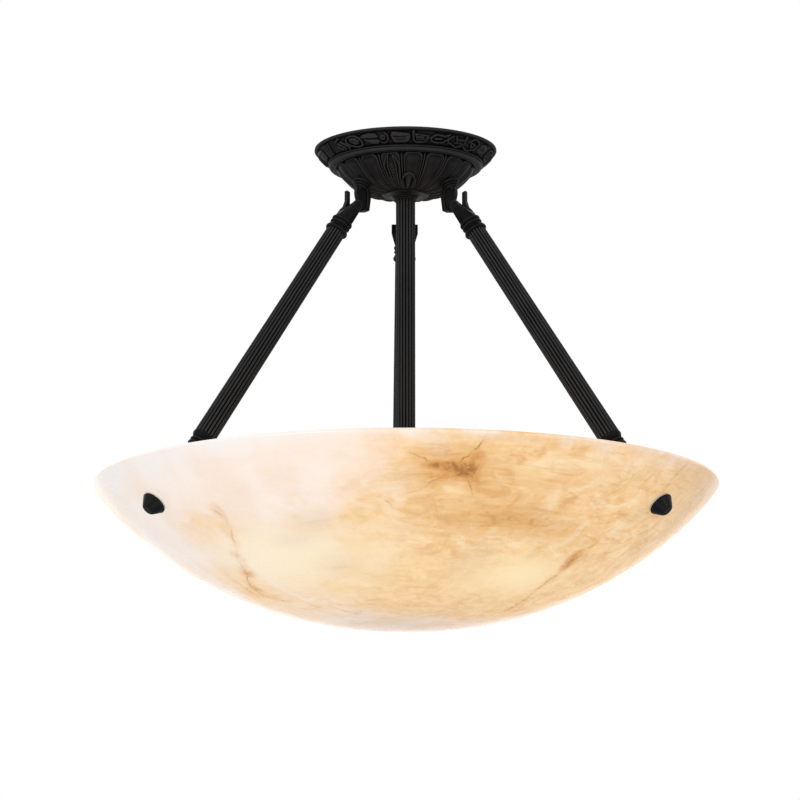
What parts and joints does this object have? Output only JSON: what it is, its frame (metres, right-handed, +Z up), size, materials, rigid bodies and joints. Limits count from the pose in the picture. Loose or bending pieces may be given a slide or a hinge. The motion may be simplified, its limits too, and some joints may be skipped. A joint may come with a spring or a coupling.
{
  "type": "pendant light",
  "caption": "Semi-flush pendant light: an alabaster bowl hung on reeded rods from hooks under a gadrooned canopy, with lamps on a reeded stem inside it.",
  "frame": {"origin": "on the ceiling plane, at the middle of the crossbar's two screw slots and on the light's axis", "axes": "+Z up into the ceiling, -Y the front between the left and the right rod, +X to the right"},
  "size_m": [0.6, 0.6, 0.47],
  "materials": {
    "zinc_plate": "zinc plated, satin",
    "ground_green": "green, satin",
    "terminal_white": "matte",
    "brass_nut": "turned",
    "steel_pipe": "threaded, satin",
    "black_cast": "satin black over a fine cast grain",
    "black_forged": "satin black",
    "black_reeded": "satin black",
    "black_turned": "satin black",
    "steel_hardware": "zinc plated, satin",
    "black_pin": "satin black",
    "porcelain": "glazed",
    "socket_brass": "rolled sheet",
    "alabaster": "polished translucent alabaster with amber and brown veins",
    "gasket": "matte",
    "bulb_glass": "frosted",
    "bulb_cap": "rolled thread"
  },
  "bodies": {
    "root": {"crossbar": "zinc_plate", "load_plate": "zinc_plate", "ground_screw": "ground_green", "terminal_block": "terminal_white", "crossbar_locknut": "brass_nut", "load_plate_nut": "brass_nut", "stem_pipe": "steel_pipe", "canopy": "black_cast", "canopy_hub": "black_cast", "hook_back": "black_forged", "hook_left": "black_forged", "hook_right": "black_forged", "stem_sleeve": "black_reeded", "stem_top_collar": "black_turned", "stem_bottom_collar": "black_turned", "cluster_cover": "black_turned", "cluster_body": "black_turned", "cluster_finial_nut": "black_turned", "hook_nuts": "steel_hardware", "lampholder_1": "porcelain", "lampholder_2": "porcelain", "lampholder_3": "porcelain", "screw_shells": "socket_brass", "center_contacts": "socket_brass"},
    "rod_back": {"top_fitting_back": "black_forged", "top_pin_back": "black_pin", "rod_tube_back": "black_reeded", "tie_rod_back": "steel_hardware", "bottom_fitting_back": "black_forged", "bottom_pin_back": "black_pin"},
    "rod_left": {"top_fitting_left": "black_forged", "top_pin_left": "black_pin", "rod_tube_left": "black_reeded", "tie_rod_left": "steel_hardware", "bottom_fitting_left": "black_forged", "bottom_pin_left": "black_pin"},
    "rod_right": {"top_fitting_right": "black_forged", "top_pin_right": "black_pin", "rod_tube_right": "black_reeded", "tie_rod_right": "steel_hardware", "bottom_fitting_right": "black_forged", "bottom_pin_right": "black_pin"},
    "bowl": {"bowl": "alabaster", "eye_bolts": "steel_hardware", "bowl_inner_gaskets": "gasket", "bowl_inner_washers": "steel_hardware", "bowl_inner_nuts": "steel_hardware", "bowl_outer_gaskets": "gasket"},
    "knob_back": {"knob_back": "black_turned"},
    "knob_left": {"knob_left": "black_turned"},
    "knob_right": {"knob_right": "black_turned"},
    "bulb_1": {"bulb_glass_1": "bulb_glass", "bulb_cap_1": "bulb_cap"},
    "bulb_2": {"bulb_glass_2": "bulb_glass", "bulb_cap_2": "bulb_cap"},
    "bulb_3": {"bulb_glass_3": "bulb_glass", "bulb_cap_3": "bulb_cap"}
  },
  "joints": [
    {"name": "rod_back_swing", "type": "hinge", "parent": "root", "child": "rod_back", "pos_m": [0, 0.0605, -0.065], "axis": [1, 0, 0], "range_deg": [-4, 4]},
    {"name": "rod_left_swing", "type": "hinge", "parent": "root", "child": "rod_left", "pos_m": [-0.05239, -0.03025, -0.065], "axis": [1, 0, 0], "range_deg": [-4, 4]},
    {"name": "rod_right_swing", "type": "hinge", "parent": "root", "child": "rod_right", "pos_m": [0.05239, -0.03025, -0.065], "axis": [1, 0, 0], "range_deg": [-4, 4]},
    {"name": "bowl_tilt", "type": "hinge", "parent": "rod_back", "child": "bowl", "pos_m": [0, 0.2433, -0.34353], "axis": [1, 0, 0], "range_deg": [-1.2, 1.2]},
    {"name": "knob_back_turn", "type": "hinge", "parent": "bowl", "child": "knob_back", "pos_m": [0, 0.268, -0.37055], "axis": [0, 0.6748, -0.738], "range_deg": [0, 2880]},
    {"name": "knob_left_turn", "type": "hinge", "parent": "bowl", "child": "knob_left", "pos_m": [-0.23209, -0.134, -0.37055], "axis": [-0.5844, -0.3374, -0.738], "range_deg": [0, 2880]},
    {"name": "knob_right_turn", "type": "hinge", "parent": "bowl", "child": "knob_right", "pos_m": [0.23209, -0.134, -0.37055], "axis": [0.5844, -0.3374, -0.738], "range_deg": [0, 2880]},
    {"name": "bulb_1_turn", "type": "hinge", "parent": "root", "child": "bulb_1", "pos_m": [0, 0.09, -0.376], "axis": [0, 1, 0], "range_deg": [0, 1080]},
    {"name": "bulb_2_turn", "type": "hinge", "parent": "root", "child": "bulb_2", "pos_m": [-0.07794, -0.045, -0.376], "axis": [-0.866, -0.5, 0], "range_deg": [0, 1080]},
    {"name": "bulb_3_turn", "type": "hinge", "parent": "root", "child": "bulb_3", "pos_m": [0.07794, -0.045, -0.376], "axis": [0.866, -0.5, 0], "range_deg": [0, 1080]}
  ],
  "couplings": [
    {"joint": "rod_left_swing", "follows": "rod_back_swing", "ratio": 1},
    {"joint": "rod_right_swing", "follows": "rod_back_swing", "ratio": 1},
    {"joint": "bowl_tilt", "follows": "rod_back_swing", "ratio": -0.24866}
  ]
}
